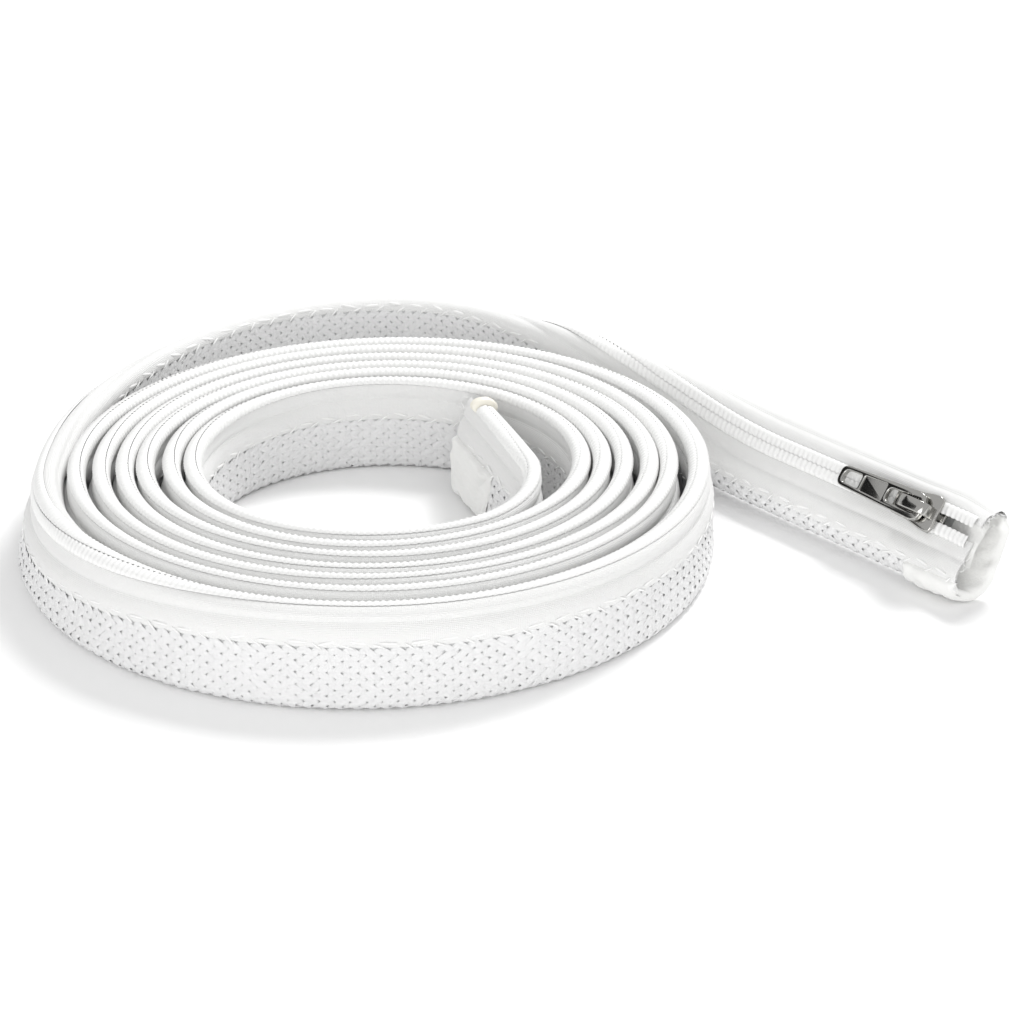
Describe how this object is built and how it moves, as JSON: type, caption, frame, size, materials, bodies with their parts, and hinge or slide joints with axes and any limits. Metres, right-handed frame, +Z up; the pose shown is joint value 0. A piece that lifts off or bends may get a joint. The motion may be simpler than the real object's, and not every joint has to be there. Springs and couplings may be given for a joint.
{
  "type": "zippered cable sleeve",
  "caption": "White braided cable sleeve with a sewn-in coil zip, wound flat on its edge, with its open mouth, metal slider and pull tab at the free end.",
  "frame": {"origin": "under the middle of the whole coil's box, on the surface that it lies on", "axes": "+X along the straight free end, out of its mouth; +Z up, square to the flat coil"},
  "size_m": [0.1558, 0.135, 0.0199],
  "materials": {
    "braid": "white polyester monofilament braid, slightly glossy strands",
    "tape": "white woven polyester tape",
    "nylon_coil": "white nylon coil with its sewing thread",
    "hem_cloth": "white felt-like binding cloth",
    "stop": "cream melted nylon",
    "nickel": "bright nickel plating"
  },
  "bodies": {
    "sleeve": {"braid": "braid", "zip_tape_outer": "tape", "zip_tape_inner": "tape", "zip_coil_outer": "nylon_coil", "zip_coil_inner": "nylon_coil", "mouth_hem": "hem_cloth", "end_hem": "hem_cloth", "zip_end_stop": "stop"},
    "slider": {"slider_body": "nickel", "slider_bridge": "nickel", "locking_leaf": "nickel"},
    "pull": {"pull_tab": "nickel"}
  },
  "joints": [
    {"name": "slider_travel", "type": "slide", "parent": "sleeve", "child": "slider", "axis": [1, 0, 0], "range_m": [-0.03, 0], "deforming": ["zip_coil_outer", "zip_coil_inner"]},
    {"name": "pull_swing", "type": "hinge", "parent": "slider", "child": "pull", "pos_m": [0.06577, 0.05653, 0.01431], "axis": [0, 0.5878, 0.809], "range_deg": [0, 170]}
  ]
}
